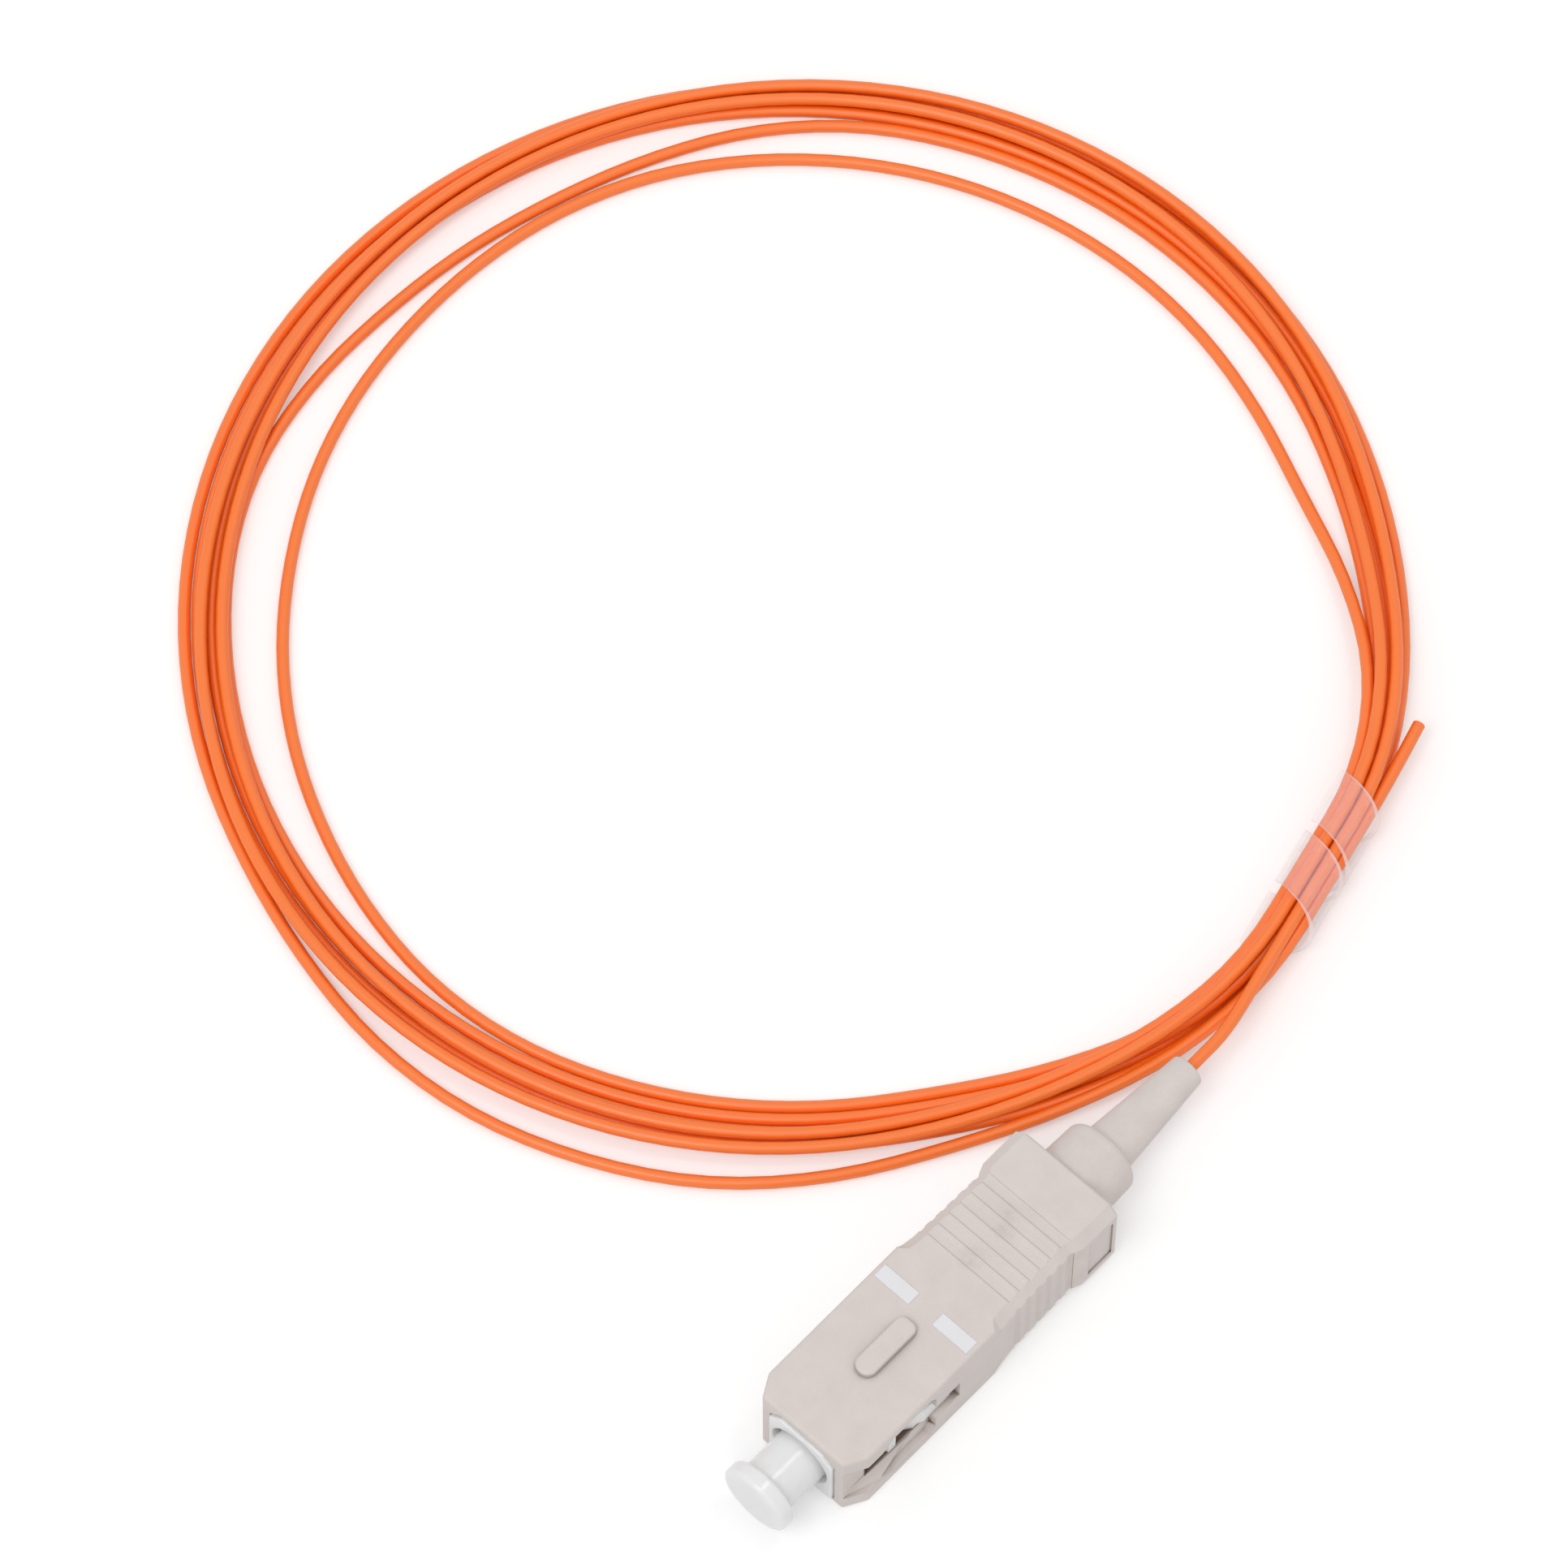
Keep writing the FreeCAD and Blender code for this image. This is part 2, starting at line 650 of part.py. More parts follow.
def ferrule_flange():
    """Flange pressed on the ferrule's rear end, with a barrel that guides the spring."""
    return turned("ferrule_flange", [
        (FLANGE_START, "ferrule_diameter / 2 + ferrule_grip"),
        (FLANGE_START, "frame_cavity / 2 - flange_clearance"),
        (FLANGE_BACK, "frame_cavity / 2 - flange_clearance"),
        (FLANGE_BACK, "barrel_diameter / 2"),
        (BARREL_END, "barrel_diameter / 2"),
        (BARREL_END, "flange_tail_diameter / 2"),
        (FLANGE_END, "flange_tail_diameter / 2"),
        (FLANGE_END, "flange_bore / 2"),
        (FERRULE_END + " + ferrule_grip", "flange_bore / 2"),
        (FERRULE_END + " + ferrule_grip", "ferrule_diameter / 2 + ferrule_grip"),
    ])


def bare_fibre():
    return turned("bare_fibre", [
        ("-1 * ferrule_lead", "0 * fibre_diameter"),
        ("-1 * ferrule_lead", "fibre_diameter / 2"),
        (FLANGE_END + " + fibre_stub", "fibre_diameter / 2"),
        (FLANGE_END + " + fibre_stub", "0 * fibre_diameter"),
    ])


def spring():
    """Compression spring: half rings of wire, each tilted by half a pitch."""
    start = amount(FLANGE_BACK) + amount("spring_wire / 2 + spring_seat_gap")
    end = amount("ring_start - spring_seat_gap - spring_wire / 2")
    turns = int(amount("spring_turns"))
    step = (end - start) / (2 * turns)
    radius = amount("barrel_diameter / 2 + spring_clearance + spring_wire / 2")
    halves = []
    for number in range(2 * turns):
        side = 1 if number % 2 == 0 else -1
        first = FreeCAD.Vector(start + number * step, side * radius, 0)
        last = FreeCAD.Vector(start + (number + 1) * step, -side * radius, 0)
        middle = (first + last) / 2
        crown = middle + FreeCAD.Vector(0, 0, side * (last - first).Length / 2)
        halves.append(Part.Arc(first, crown, last).toShape())
    path = Part.Wire(halves)
    section = Part.Circle(halves[0].Vertexes[0].Point, Z_AXIS, amount("spring_wire / 2"))
    return soft_piece("spring", path.makePipeShell([Part.Wire(section.toShape())], True, False))


def soft_piece(name, shape):
    """A piece whose shape is worked out here; it is set down with the others."""
    piece = doc.addObject("Part::Feature", name)
    piece.Shape = shape
    piece.Placement = FreeCAD.Placement(
        FreeCAD.Vector(amount(CENTRING), 0, amount(FLOOR_RISE)), FreeCAD.Rotation())
    return piece


RING_BACK = "frame_end + ring_flange_length"


def stop_ring():
    """Ring pressed into the frame's cavity: spring seat, flange and a tail for the boot."""
    return turned("stop_ring", [
        ("ring_start", "ring_bore / 2"),
        ("ring_start", "frame_cavity / 2 - ring_fit"),
        ("frame_end", "frame_cavity / 2 - ring_fit"),
        ("frame_end", "ring_flange_diameter / 2"),
        (RING_BACK, "ring_flange_diameter / 2"),
        (RING_BACK, "ring_tail_diameter / 2"),
        (RING_BACK + " + ring_tail_length", "ring_tail_diameter / 2"),
        (RING_BACK + " + ring_tail_length", "ring_bore / 2"),
    ])


def boot():
    """Bend relief: a collar over the ring's tail, slimmer at its front, and a cone over the cable."""
    socket = "ring_tail_diameter / 2 + boot_fit"
    passage = "cable_diameter / 2 + cable_clearance"
    collar_end = "housing_length + collar_exposed"
    socket_end = RING_BACK + " + ring_tail_length + boot_end_gap"
    front_end = RING_BACK + " + boot_seat_gap + boot_front_length"
    body = turned("boot", [
        (RING_BACK + " + boot_seat_gap", socket),
        (RING_BACK + " + boot_seat_gap", "ring_flange_diameter / 2"),
        (front_end, "ring_flange_diameter / 2"),
        (front_end, "collar_diameter / 2"),
        ("housing_length", "collar_diameter / 2"),
        (collar_end, "collar_rear_diameter / 2"),
        (collar_end, "neck_diameter / 2"),
        (BOOT_END, "boot_tip_diameter / 2"),
        (BOOT_END, passage),
        (socket_end, passage),
        (socket_end, socket),
    ])
    round_edges(body, "collar_shoulder", "collar_round",
                lambda edge: ring_at(edge, collar_end, "collar_rear_diameter"))
    round_edges(body, "neck_root", "neck_round",
                lambda edge: ring_at(edge, collar_end, "neck_diameter"))
    round_edges(body, "boot_tip", "boot_tip_round",
                lambda edge: ring_at(edge, BOOT_END, "boot_tip_diameter"))
    return body


def dust_cap():
    """Closed cap whose tube slips over the ferrule inside the frame's bore."""
    flange_end = "cap_flange_length - cap_reach"
    bore = "ferrule_diameter / 2 + cap_bore_clearance"
    bore_end = "-1 * (ferrule_lead + cap_tip_room)"
    body = turned("dust_cap", [
        ("-1 * cap_reach", "0 * cap_reach"),
        ("-1 * cap_reach", "cap_flange_diameter / 2"),
        (flange_end, "cap_flange_diameter / 2"),
        (flange_end, "cap_tube_diameter / 2"),
        ("cap_tube_end", "cap_tube_diameter / 2"),
        ("cap_tube_end", bore),
        (bore_end, bore),
        (bore_end, "0 * cap_reach"),
    ])
    for name, station in (("cap_face", "-1 * cap_reach"), ("cap_rim", flange_end)):
        round_edges(body, name, "cap_flange_round",
                    lambda edge: ring_at(edge, station, "cap_flange_diameter"))
    round_edges(body, "cap_root", "cap_tube_round",
                lambda edge: ring_at(edge, flange_end, "cap_tube_diameter"))
    return body


# The coil lies beside the boot. Its centre is counted from the boot's tip, and the
# spiral wrap sits a little past the point of the coil nearest to the connector's axis.
COIL_X = "%s + %s + coil_ahead" % (CENTRING, BOOT_END)
COIL_Y = "coil_aside"
WRAP_RADIUS = "(coil_outer_radius - coil_tied_width / 2 - bundle_sag)"
WRAP_AXIS_Z = "(bundle_diameter / 2 + wrap_slack + wrap_thickness)"
WRAP_LENGTH = "(wrap_pitch * wrap_turns + wrap_band)"
BUNDLE_LENGTH = "(%s + 2 * wrap_margin)" % WRAP_LENGTH


def wrap_point(along_axis, outward, height):
    """Point given from the middle of the wrap, in the row frame: along it, outward and above."""
    turn = math.radians(amount("wrap_angle"))
    radius = amount(WRAP_RADIUS) + outward
    across = FreeCAD.Vector(math.sin(turn), -math.cos(turn), 0)
    forward = FreeCAD.Vector(math.cos(turn), math.sin(turn), 0)
    centre = FreeCAD.Vector(amount(COIL_X), amount(COIL_Y), amount(WRAP_AXIS_Z) + height)
    return centre + across * radius + forward * along_axis


def place(piece, x_text, y_text, z_text, turn_text):
    """Bind a primitive's place and its turn about the vertical."""
    for letter, text in (("x", x_text), ("y", y_text), ("z", z_text)):
        piece.setExpression("Placement.Base." + letter, formula(text))
    piece.Placement = FreeCAD.Placement(piece.Placement.Base, FreeCAD.Rotation(Z_AXIS, 1))
    piece.setExpression("Placement.Rotation.Angle", formula(turn_text))


def fibre_coil():
    """Tied coil: a lopsided flat ring, narrow at the wrap, whose bundle runs through the wrap."""
    shift = "(coil_far_width - coil_tied_width) / 2"
    outer = doc.addObject("Part::Cylinder", "coil_outside")
    outer.setExpression("Radius", formula("coil_outer_radius"))
    outer.setExpression("Height", formula("coil_height"))
    place(outer, COIL_X, COIL_Y, "0 * coil_height", "wrap_angle")
    inner = doc.addObject("Part::Cylinder", "coil_inside")
    inner.setExpression("Radius", formula("coil_outer_radius - (coil_far_width + coil_tied_width) / 2"))
    inner.setExpression("Height", formula("coil_height"))
    place(inner, "%s + %s * sin(wrap_angle * 1 deg)" % (COIL_X, shift),
          "%s - %s * cos(wrap_angle * 1 deg)" % (COIL_Y, shift), "0 * coil_height", "wrap_angle")
    ring = doc.addObject("Part::Cut", "coil_ring")
    ring.Base = outer
    ring.Tool = inner
    doc.recompute()
    rounded = doc.addObject("Part::Fillet", "coil_rounded")
    rounded.Base = ring
    radius = amount("coil_round")
    rounded.Edges = [(number, radius, radius) for number, edge in enumerate(ring.Shape.Edges, start=1)
                     if isinstance(edge.Curve, Part.Circle)]
    gap = doc.addObject("Part::Box", "coil_gap")
    gap.setExpression("Length", formula(BUNDLE_LENGTH))
    gap.setExpression("Width", formula("2 * coil_far_width"))
    gap.setExpression("Height", formula("2 * coil_height"))
    corner = "(%s + coil_far_width)" % WRAP_RADIUS
    half = "(%s / 2)" % BUNDLE_LENGTH
    place(gap, "%s + %s * sin(wrap_angle * 1 deg) - %s * cos(wrap_angle * 1 deg)" % (COIL_X, corner, half),
          "%s - %s * cos(wrap_angle * 1 deg) - %s * sin(wrap_angle * 1 deg)" % (COIL_Y, corner, half),
          "-1 * coil_height / 2", "wrap_angle")
    open_ring = doc.addObject("Part::Cut", "coil_open")
    open_ring.Base = rounded
    open_ring.Tool = gap
    bundle = doc.addObject("Part::Feature", "coil_bundle")
    reach = amount(BUNDLE_LENGTH) / 2 + amount("bundle_lap")
    first = wrap_point(-reach, 0, 0)
    last = wrap_point(reach, 0, 0)
    bundle.Shape = Part.makeCylinder(amount("bundle_diameter / 2"), 2 * reach, first, last - first)
    coil = doc.addObject("Part::Fuse", "fibre_coil")
    coil.Base = open_ring
    coil.Tool = bundle
    return coil


def spiral_wrap():
    """Clear flat band wound round the bundle."""
    body = doc.addObject("PartDesign::Body", "spiral_wrap")
    place(body, "%s + %s * sin(wrap_angle * 1 deg)" % (COIL_X, WRAP_RADIUS),
          "%s - %s * cos(wrap_angle * 1 deg)" % (COIL_Y, WRAP_RADIUS), WRAP_AXIS_Z, "wrap_angle")
    section = new_sketch(body, "band_section", "XY_Plane")
    inside = "bundle_diameter / 2 + wrap_slack"
    start = "-1 * %s / 2" % WRAP_LENGTH
    draw_polygon(section, rectangle(start, "%s + wrap_band" % start,
                                    inside, "%s + wrap_thickness" % inside))
    band = body.newObject("PartDesign::AdditiveHelix", "band")
    band.Profile = section
    band.ReferenceAxis = (section, ["H_Axis"])
    band.Mode = "pitch-turns-angle"
    band.LeftHanded = True
    band.setExpression("Pitch", formula("wrap_pitch"))
    band.setExpression("Turns", formula("wrap_turns"))
    doc.recompute()
    return body


# Part of a straight run that an arc at one of its ends may take up.
ARC_SHARE = 0.45


def tube(name, points, diameter):
    """Tube along straight runs joined by tangent arcs that take up most of the runs."""
    edges = []
    reached = points[0]
    length = 0.0
    for before, corner, after in zip(points, points[1:], points[2:]):
        back = before - corner
        ahead = after - corner
        turn = math.pi - back.getAngle(ahead)
        trim = ARC_SHARE * min(back.Length, ahead.Length)
        radius = trim / math.tan(turn / 2)
        print("%s: turn %.1f degrees, radius %.1f mm" % (name, math.degrees(turn), radius))
        inward = (back.normalize() + ahead.normalize()).normalize()
        entry = corner + back * trim
        leave = corner + ahead * trim
        crown = corner + inward * (radius / math.cos(turn / 2) - radius)
        edges.append(Part.LineSegment(reached, entry).toShape())
        edges.append(Part.Arc(entry, crown, leave).toShape())
        length += (entry - reached).Length + radius * turn
        reached = leave
    edges.append(Part.LineSegment(reached, points[-1]).toShape())
    length += (points[-1] - reached).Length
    section = Part.Circle(points[0], points[1] - points[0], diameter / 2).toShape()
    shape = Part.Wire(edges).makePipeShell([Part.Wire(section)], True, False)
    expected = math.pi * diameter ** 2 / 4 * length
    print("%s: length %.2f mm, volume %.4f of its section times length" % (
        name, length, shape.Volume / expected))
    piece = doc.addObject("Part::Feature", name)
    piece.Shape = shape
    return piece


def bundle_end(side, back_off):
    """Point of an end strand of the bundle, on its end face or a little before it."""
    reach = amount(BUNDLE_LENGTH) / 2 + amount("bundle_lap") + back_off
    return wrap_point(side * reach, amount("end_strand_aside"), amount("end_strand_above"))


def fibre_lead():
    """Cable from inside the connector, out of the boot and down onto the bundle."""
    tip = FreeCAD.Vector(amount(CENTRING) + amount(BOOT_END), 0, amount(FLOOR_RISE))
    start = FreeCAD.Vector(amount(CENTRING) + amount("cable_start"), 0, amount(FLOOR_RISE))
    points = [
        start,
        tip + FreeCAD.Vector(amount("lead_straight"), 0, 0),
        tip + FreeCAD.Vector(amount("lead_bend"), amount("lead_aside"), -amount("lead_drop")),
        bundle_end(-1, amount("lead_landing")),
        bundle_end(-1, 0),
    ]
    return tube("fibre_lead", points, amount("cable_diameter"))


def fibre_tail():
    """Bare end of the cable, past the wrap."""
    points = [bundle_end(1, 0), bundle_end(1, amount("tail_length"))]
    return tube("fibre_tail", points, amount("cable_diameter"))


PIECES = [
    outer_housing(),
    insertion_marks(),
    plug_frame(),
    ferrule(),
    ferrule_flange(),
    bare_fibre(),
    spring(),
    stop_ring(),
    boot(),
    dust_cap(),
    fibre_coil(),
    spiral_wrap(),
    fibre_lead(),
    fibre_tail(),
]
doc.recompute()

for item in doc.Objects:
    if "Invalid" in item.State or "Error" in item.State:
        raise RuntimeError("%s failed: %s" % (item.Name, item.State))
for piece in PIECES:
    if piece.Shape.isNull() or not piece.Shape.isValid():
        raise RuntimeError("%s has no valid shape" % piece.Label)

os.makedirs("parts", exist_ok=True)
for piece in PIECES:
    piece.Shape.exportStep(os.path.join("parts", piece.Label + ".step"))
    box = piece.Shape.BoundBox
    print("%s: %d solids, %.3f mm3, x %.2f..%.2f y %.2f..%.2f z %.2f..%.2f" % (
        piece.Label, len(piece.Shape.Solids), piece.Shape.Volume,
        box.XMin, box.XMax, box.YMin, box.YMax, box.ZMin, box.ZMax))
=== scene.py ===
import math

import bpy
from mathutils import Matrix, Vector


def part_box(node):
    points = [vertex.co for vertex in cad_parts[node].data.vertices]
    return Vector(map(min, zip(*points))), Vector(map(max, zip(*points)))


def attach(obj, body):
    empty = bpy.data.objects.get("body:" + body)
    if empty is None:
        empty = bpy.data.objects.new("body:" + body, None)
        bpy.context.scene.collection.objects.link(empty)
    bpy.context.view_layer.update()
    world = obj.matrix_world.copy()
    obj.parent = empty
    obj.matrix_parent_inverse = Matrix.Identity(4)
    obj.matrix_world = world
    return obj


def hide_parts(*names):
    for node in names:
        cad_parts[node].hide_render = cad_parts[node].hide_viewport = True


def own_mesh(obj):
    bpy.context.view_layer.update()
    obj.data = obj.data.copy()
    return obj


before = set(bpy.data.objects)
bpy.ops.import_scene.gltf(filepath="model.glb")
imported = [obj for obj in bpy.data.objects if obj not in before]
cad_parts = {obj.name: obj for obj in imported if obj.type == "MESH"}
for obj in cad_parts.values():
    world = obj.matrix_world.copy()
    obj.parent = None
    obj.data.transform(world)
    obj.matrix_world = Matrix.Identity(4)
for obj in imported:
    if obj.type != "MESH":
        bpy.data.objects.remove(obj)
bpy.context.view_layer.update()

MM = 0.001

# Camera: the direction of the photo's close-up, framed to take in the whole coil
VIEW_AZIMUTH = -47.0
VIEW_ELEVATION = 63.0
FRAME_WIDTH = 105 * MM
FRAME_RIGHT = -12.6 * MM
FRAME_UP = 34.9 * MM
LENS = 200.0
SENSOR = 36.0

# Fibre, with its routes into the coil and out of it in millimetres
FIBRE_DIAMETER = 0.9 * MM
FIBRE_ROUNDNESS = 4
FIBRE_STEPS = 4
SPLINE_ORDER = 3
LEAD_POINTS = (
    (-1.725, 0.0, 3.675),
    (19.975, 0.0, 3.675),
    (22.675, 0.0, 3.675),
    (25.375, 0.1, 3.425),
    (28.895, 0.954, 3.22),
    (31.420, 1.569, 3.12),
)
TAIL_POINTS = (
    (47.705, 4.847, 2.31),
    (52.50, 6.30, 2.12),
)

# Coil, with its mean and its drift as shares of its outer radius
TURNS = 7
POINTS_PER_TURN = 32
COIL_MEAN = 0.943
COIL_DRIFT = 0.024
COIL_DRIFT_ANGLE = 30.0
LOWER_LAYER = 0.45 * MM
UPPER_LAYER = 1.36 * MM

# Tied bundle: its reach along the coil in degrees, its middle and how its strands are packed.
# BUNDLE_OUT is the way from the middle of the wrap's box to the wrap's axis.
TIED_REACH = 12.0
LOOSE_FROM = 48.0
BUNDLE_HEIGHT = 2.15 * MM
BUNDLE_OUT = 0.41 * MM
PACKING_RADIUS = 1.12 * MM
PACKING_FIRST = 8.6
PACKING_PLACES = 7

# Colours as they look on screen, 0 to 255
BEIGE = (218, 208, 203)
FRAME_WHITE = (254, 254, 254)
INK_WHITE = (231, 230, 233)
CERAMIC_WHITE = (238, 236, 232)
CAP_MILK = (252, 252, 254)
ORANGE = (255, 119, 24)
GLASS_DARK = (92, 92, 96)
GLASS_LIGHT = (112, 112, 116)
FLANGE_GREY = (206, 202, 194)
SPRING_GREY = (186, 188, 192)
RING_GREY = (200, 196, 188)
PAPER_WHITE = (228, 228, 228)

# Surfaces
NOISE_LOW = 0.3
NOISE_HIGH = 0.7
MOTTLE_SIZE = 1.6 * MM
MOULD_EDGE = 0.1 * MM
EDGE_SAMPLES = 4
MILKY_DEPTH = 1.5 * MM
ROUGHNESS_SWING = 0.06
EVEN_RADIUS = (1.0, 1.0, 1.0)

# Painted shade in recesses of the housing: a tint that multiplies its colour, by how little sky
# is open
RECESS_SHADE_TINT = (0.20, 0.13, 0.08, 1.0)
RECESS_REACH = 2.4 * MM
RECESS_DEEP = 0.35
RECESS_OPEN = 0.85
RECESS_RISE = 2.0
RECESS_SAMPLES = 8

# Painted shade inside the side windows of the housing
# Side windows of the housing: middle and half size along and up, and depth from the middle plane
WINDOW_SHADE_TINT = (0.17, 0.11, 0.07, 1.0)
WINDOW_MIDDLE = (-11.55 * MM, 3.675 * MM)
WINDOW_REACH = (3.1 * MM, 1.55 * MM)
WINDOW_EDGE = 3.98 * MM
WINDOW_DEEP = 3.6 * MM

# Faint grey patches on the ribs of the housing, with their places in millimetres
GREY_PATCHES = ((4.05, 0.70, 7.0), (3.03, 0.17, 7.0), (0.03, 0.28, 7.0))
PATCH_REACH = 1.4 * MM
PATCH_GRAIN = 0.5 * MM
PATCH_WEAK = 0.35
PATCH_TINT = (0.86, 0.86, 0.88, 1.0)

# Film of the wrap: how much of it shows on its faces, and on its cut edges as a painted
# highlight
FILM_COLOUR = (0.97, 0.97, 0.98, 1)
FILM_HAZE = (0.09, 0.14)
FILM_EDGE_FROM = 0.3
FILM_EDGE_TO = 0.7
FILM_EDGE_HIGHLIGHT = 0.6

# Studio, with lamp spreads in degrees
WHITE = (1, 1, 1, 1)
FLOOR_REACH = 3.0
PAPER_LIFT = 0.30
SKY_LIGHT = 0.67
KEY_FROM = (-0.48, -0.05, 0.87)
KEY_SPREAD = 29.0
KEY_LIGHT = 0.82
GLINT_FROM = (0.33, -0.11, 0.94)
GLINT_SPREAD = 10.0
GLINT_LIGHT = 0.18


def swell(angle, middle, plateau, reach):
    """1 within plateau degrees of the middle angle, falling smoothly to 0 at reach degrees."""
    off = abs((angle - middle + 180) % 360 - 180)
    share = min(1.0, max(0.0, (off - plateau) / (reach - plateau)))
    return 0.5 + 0.5 * math.cos(math.pi * share)


class Turn:
    """One turn of the coil: its place across the strand and how it strays from it.

    Offset, wander and bulges are shares of the coil's outer radius. A bulge is an amount with
    the angles that swell() takes.
    """

    def __init__(self, offset, height, wander=0.0, phase=0.0, bulges=()):
        self.offset = offset
        self.height = height
        self.wander = wander
        self.phase = phase
        self.bulges = bulges

    def radial(self, angle):
        value = self.offset + self.wander * math.sin(math.radians(2 * angle + self.phase))
        for amount, middle, plateau, reach in self.bulges:
            value += amount * swell(angle, middle, plateau, reach)
        return value


COIL_TURNS = (
    Turn(0.015, UPPER_LAYER, wander=0.018, phase=60),
    Turn(-0.015, UPPER_LAYER, wander=0.018, phase=40),
    Turn(-0.055, LOWER_LAYER, bulges=((-0.05, 65, 85, 130), (-0.03, 108, 10, 55))),
    Turn(-0.033, LOWER_LAYER, bulges=((-0.06, 78, 5, 45),)),
    Turn(-0.011, LOWER_LAYER),
    Turn(0.011, LOWER_LAYER),
    Turn(0.033, LOWER_LAYER, bulges=((0.053, 203, 8, 45),)),
)
# Places in the tied bundle, in the order in which the fibre passes: ring places, None the middle
TIED_PLACES = (1, 2, 3, 4, None, 5, 6, 0)


def middle_of(node):
    low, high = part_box(node)
    return (low + high) / 2


COIL_CENTRE = middle_of("fibre_coil")
COIL_RADIUS = (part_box("fibre_coil")[1].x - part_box("fibre_coil")[0].x) / 2
WRAP_OFFSET = middle_of("spiral_wrap") - COIL_CENTRE
WRAP_ANGLE = math.degrees(math.atan2(WRAP_OFFSET.y, WRAP_OFFSET.x))
WRAP_RADIUS = math.hypot(WRAP_OFFSET.y, WRAP_OFFSET.x)


def tied_place(index):
    """Outward and upward place of one pass of the fibre in the tied bundle."""
    place = TIED_PLACES[index]
    if place is None:
        return 0.0, 0.0
    angle = math.radians(PACKING_FIRST + 360 / PACKING_PLACES * place)
    return PACKING_RADIUS * math.cos(angle), PACKING_RADIUS * math.sin(angle)


def coil_point(step):
    """A point of the coil's line: tied at the wrap, loose elsewhere."""
    along = step * 360 / POINTS_PER_TURN
    turn = COIL_TURNS[min(TURNS - 1, int(along // 360))]
    from_wrap = (along + 180) % 360 - 180
    angle = WRAP_ANGLE + along
    middle = COIL_MEAN + COIL_DRIFT * math.cos(math.radians(angle - COIL_DRIFT_ANGLE))
    loose = COIL_RADIUS * (middle + turn.radial(angle))
    outward, upward = tied_place(round(along / 360))
    straight = math.cos(math.radians(min(abs(from_wrap), TIED_REACH)))
    tied = (WRAP_RADIUS + BUNDLE_OUT) / straight + outward
    share = swell(from_wrap, 0, TIED_REACH, LOOSE_FROM)
    radius = loose + (tied - loose) * share
    height = turn.height + (BUNDLE_HEIGHT + upward - turn.height) * share
    turned = math.radians(angle)
    return (
        COIL_CENTRE.x + radius * math.cos(turned),
        COIL_CENTRE.y + radius * math.sin(turned),
        height,
    )


def in_metres(points):
    return [tuple(value * MM for value in point) for point in points]


def fibre_route():
    coil = [coil_point(step) for step in range(TURNS * POINTS_PER_TURN + 1)]
    return in_metres(LEAD_POINTS) + coil + in_metres(TAIL_POINTS)


def make_fibre(material):
    """The whole fibre as one curve: its lead, its turns and its bare end."""
    route = fibre_route()
    data = bpy.data.curves.new("fibre", "CURVE")
    data.dimensions = "3D"
    data.bevel_depth = FIBRE_DIAMETER / 2
    data.bevel_resolution = FIBRE_ROUNDNESS
    data.resolution_u = FIBRE_STEPS
    data.use_fill_caps = True
    spline = data.splines.new("NURBS")
    spline.points.add(len(route) - 1)
    for point, place in zip(spline.points, route):
        point.co = (*place, 1.0)
    spline.order_u = SPLINE_ORDER
    spline.use_endpoint_u = True
    data.materials.append(material)
    fibre = bpy.data.objects.new("buffered_fibre", data)
    bpy.context.collection.objects.link(fibre)
    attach(fibre, "plug")
    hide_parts("fibre_lead", "fibre_coil", "fibre_tail")


def make_spring(material):
    """Spring behind the ferrule (it shortens as the ferrule moves back), here its own mesh at
    rest.
    """
    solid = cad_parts["spring"]
    spring = bpy.data.objects.new("coil_spring", solid.data.copy())
    spring.matrix_world = solid.matrix_world.copy()
    spring.data.materials.clear()
    spring.data.materials.append(material)
    bpy.context.collection.objects.link(spring)
    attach(spring, "plug")
    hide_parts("spring")
    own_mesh(spring)


def srgb(red, green, blue):
    """A colour as it looks on screen, 0 to 255, as linear light."""
    def linear(value):
        share = value / 255
        return share / 12.92 if share <= 0.04045 else ((share + 0.055) / 1.055) ** 2.4
    return (linear(red), linear(green), linear(blue), 1.0)


def shaded(colour, factor):
    return (*(min(1.0, value * factor) for value in colour[:3]), 1.0)


def new_material(name):
    material = bpy.data.materials.new(name)
    material.use_nodes = True
    tree = material.node_tree
    return material, tree, tree.nodes["Principled BSDF"]


def adjust(shader, values):
    """Sets inputs of a shader by their names."""
    for name, value in values.items():
        shader.inputs[name].default_value = value


def add_math(tree, operation, *values):
    """A math node over links and plain numbers."""
    node = tree.nodes.new("ShaderNodeMath")
    node.operation = operation
    for value, socket in zip(values, node.inputs):
        if isinstance(value, (int, float)):
            socket.default_value = value
        else:
            tree.links.new(value, socket)
    return node.outputs[0]


def add_map(tree, value, source, target=(0.0, 1.0), smooth=False):
    """Carries a value from one range over to another."""
    node = tree.nodes.new("ShaderNodeMapRange")
    if smooth:
        node.interpolation_type = "SMOOTHSTEP"
    ends = ("From Min", "From Max", "To Min", "To Max")
    for name, number in zip(ends, (*source, *target)):
        node.inputs[name].default_value = number
    tree.links.new(value, node.inputs["Value"])
    return node.outputs["Result"]


def add_place(tree):
    """The place on the surface in the part's own coordinates."""
    return tree.nodes.new("ShaderNodeTexCoord").outputs["Object"]


def add_noise(tree, size, detail=2.0, stretch=(1, 1, 1)):
    """Noise whose features are about the given size, in the part's own coordinates."""
    scaling = tree.nodes.new("ShaderNodeMapping")
    scaling.inputs["Scale"].default_value = [value / size for value in stretch]
    noise = tree.nodes.new("ShaderNodeTexNoise")
    noise.inputs["Scale"].default_value = 1.0
    noise.inputs["Detail"].default_value = detail
    tree.links.new(add_place(tree), scaling.inputs["Vector"])
    tree.links.new(scaling.outputs["Vector"], noise.inputs["Vector"])
    return noise.outputs["Fac"]


